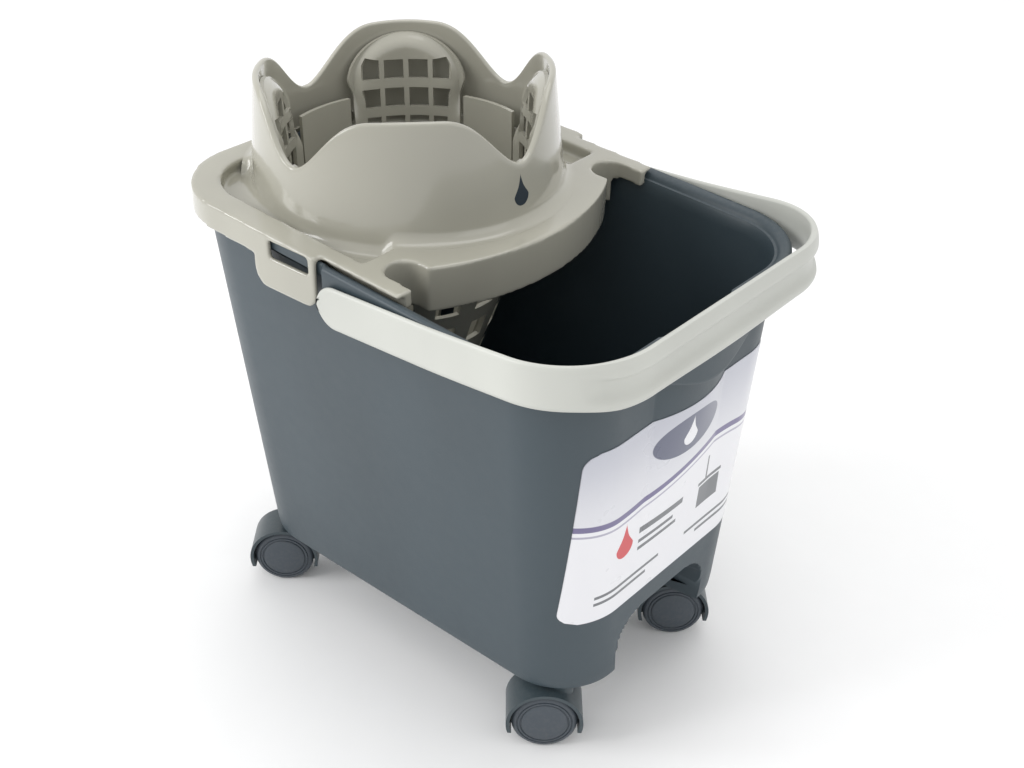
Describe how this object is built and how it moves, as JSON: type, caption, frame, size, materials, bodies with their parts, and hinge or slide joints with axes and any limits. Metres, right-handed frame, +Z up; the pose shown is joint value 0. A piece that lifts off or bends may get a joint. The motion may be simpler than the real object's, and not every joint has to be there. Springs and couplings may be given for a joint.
{
  "type": "mop bucket with wringer",
  "caption": "Rectangular wheeled mop bucket with a pouring lip, folding carrying handle and a lift-off round press wringer with a perforated cone basket.",
  "frame": {"origin": "on the floor, at the middle of the whole object's box", "axes": "+X towards the pouring lip, +Y towards the right-hand side seen from behind the wringer, +Z up"},
  "size_m": [0.3315, 0.2412, 0.3655],
  "materials": {
    "bucket_plastic": "satin moulded anthracite polypropylene with a fine grain",
    "cream_plastic": "smooth warm cream polypropylene, half gloss",
    "handle_plastic": "smooth off-white polypropylene",
    "castor_plastic": "dark grey moulded nylon",
    "wheel_plastic": "dark grey hard plastic, slightly scuffed",
    "steel": "zinc-plated steel",
    "label_film": null,
    "sticker_film": "small printed film with plain bars"
  },
  "bodies": {
    "bucket": {"bucket_body": "bucket_plastic", "front_label": "label_film"},
    "handle": {"handle": "handle_plastic"},
    "wringer": {"wringer_frame": "cream_plastic", "cup_sticker": "sticker_film"},
    "basket": {"wringer_basket": "cream_plastic"},
    "petal_front_right": {"petal_front_right": "cream_plastic"},
    "petal_rear_right": {"petal_rear_right": "cream_plastic"},
    "petal_rear_left": {"petal_rear_left": "cream_plastic"},
    "petal_front_left": {"petal_front_left": "cream_plastic"},
    "castor_front_left": {"castor_hood_front_left": "castor_plastic", "castor_stem_front_left": "steel"},
    "wheels_front_left": {"castor_axle_front_left": "steel", "castor_wheel_inner_front_left": "wheel_plastic", "castor_wheel_outer_front_left": "wheel_plastic"},
    "castor_front_right": {"castor_hood_front_right": "castor_plastic", "castor_stem_front_right": "steel"},
    "wheels_front_right": {"castor_axle_front_right": "steel", "castor_wheel_inner_front_right": "wheel_plastic", "castor_wheel_outer_front_right": "wheel_plastic"},
    "castor_rear_left": {"castor_hood_rear_left": "castor_plastic", "castor_stem_rear_left": "steel"},
    "wheels_rear_left": {"castor_axle_rear_left": "steel", "castor_wheel_inner_rear_left": "wheel_plastic", "castor_wheel_outer_rear_left": "wheel_plastic"},
    "castor_rear_right": {"castor_hood_rear_right": "castor_plastic", "castor_stem_rear_right": "steel"},
    "wheels_rear_right": {"castor_axle_rear_right": "steel", "castor_wheel_inner_rear_right": "wheel_plastic", "castor_wheel_outer_rear_right": "wheel_plastic"}
  },
  "joints": [
    {"name": "handle_fold", "type": "hinge", "parent": "bucket", "child": "handle", "pos_m": [-0.01148, 0, 0.2765], "axis": [0, -1, 0], "range_deg": [0, 175]},
    {"name": "wringer_lift", "type": "slide", "parent": "bucket", "child": "wringer", "axis": [0, 0, 1], "range_m": [0, 0.18]},
    {"name": "basket_press", "type": "slide", "parent": "wringer", "child": "basket", "axis": [0, 0, -1], "range_m": [0, 0.02], "stiffness_N_per_m": 1500, "springref_m": -0.004},
    {"name": "petal_front_right_close", "type": "hinge", "parent": "basket", "child": "petal_front_right", "pos_m": [-0.0188, 0.05268, 0.2685], "axis": [0.7071, -0.7071, 0], "range_deg": [0, 18.5]},
    {"name": "petal_rear_right_close", "type": "hinge", "parent": "basket", "child": "petal_rear_right", "pos_m": [-0.12416, 0.05268, 0.2685], "axis": [0.7071, 0.7071, 0], "range_deg": [0, 18.5]},
    {"name": "petal_rear_left_close", "type": "hinge", "parent": "basket", "child": "petal_rear_left", "pos_m": [-0.12416, -0.05268, 0.2685], "axis": [-0.7071, 0.7071, 0], "range_deg": [0, 18.5]},
    {"name": "petal_front_left_close", "type": "hinge", "parent": "basket", "child": "petal_front_left", "pos_m": [-0.0188, -0.05268, 0.2685], "axis": [-0.7071, -0.7071, 0], "range_deg": [0, 18.5]},
    {"name": "castor_swivel_front_left", "type": "hinge", "parent": "bucket", "child": "castor_front_left", "pos_m": [0.10972, -0.0665, 0.0464], "axis": [0, 0, 1], "continuous": true},
    {"name": "castor_roll_front_left", "type": "hinge", "parent": "castor_front_left", "child": "wheels_front_left", "pos_m": [0.10217, -0.07306, 0.02], "axis": [-0.6561, 0.7547, 0], "continuous": true},
    {"name": "castor_swivel_front_right", "type": "hinge", "parent": "bucket", "child": "castor_front_right", "pos_m": [0.10972, 0.0665, 0.0464], "axis": [0, 0, 1], "continuous": true},
    {"name": "castor_roll_front_right", "type": "hinge", "parent": "castor_front_right", "child": "wheels_front_right", "pos_m": [0.10217, 0.05994, 0.02], "axis": [-0.6561, 0.7547, 0], "continuous": true},
    {"name": "castor_swivel_rear_left", "type": "hinge", "parent": "bucket", "child": "castor_rear_left", "pos_m": [-0.12668, -0.0665, 0.0464], "axis": [0, 0, 1], "continuous": true},
    {"name": "castor_roll_rear_left", "type": "hinge", "parent": "castor_rear_left", "child": "wheels_rear_left", "pos_m": [-0.13423, -0.07306, 0.02], "axis": [-0.6561, 0.7547, 0], "continuous": true},
    {"name": "castor_swivel_rear_right", "type": "hinge", "parent": "bucket", "child": "castor_rear_right", "pos_m": [-0.12668, 0.0665, 0.0464], "axis": [0, 0, 1], "continuous": true},
    {"name": "castor_roll_rear_right", "type": "hinge", "parent": "castor_rear_right", "child": "wheels_rear_right", "pos_m": [-0.13423, 0.05994, 0.02], "axis": [-0.6561, 0.7547, 0], "continuous": true}
  ],
  "couplings": [
    {"joint": "petal_front_right_close", "follows": "basket_press", "rad_per_m": 15.708},
    {"joint": "petal_rear_right_close", "follows": "basket_press", "rad_per_m": 15.708},
    {"joint": "petal_rear_left_close", "follows": "basket_press", "rad_per_m": 15.708},
    {"joint": "petal_front_left_close", "follows": "basket_press", "rad_per_m": 15.708}
  ]
}
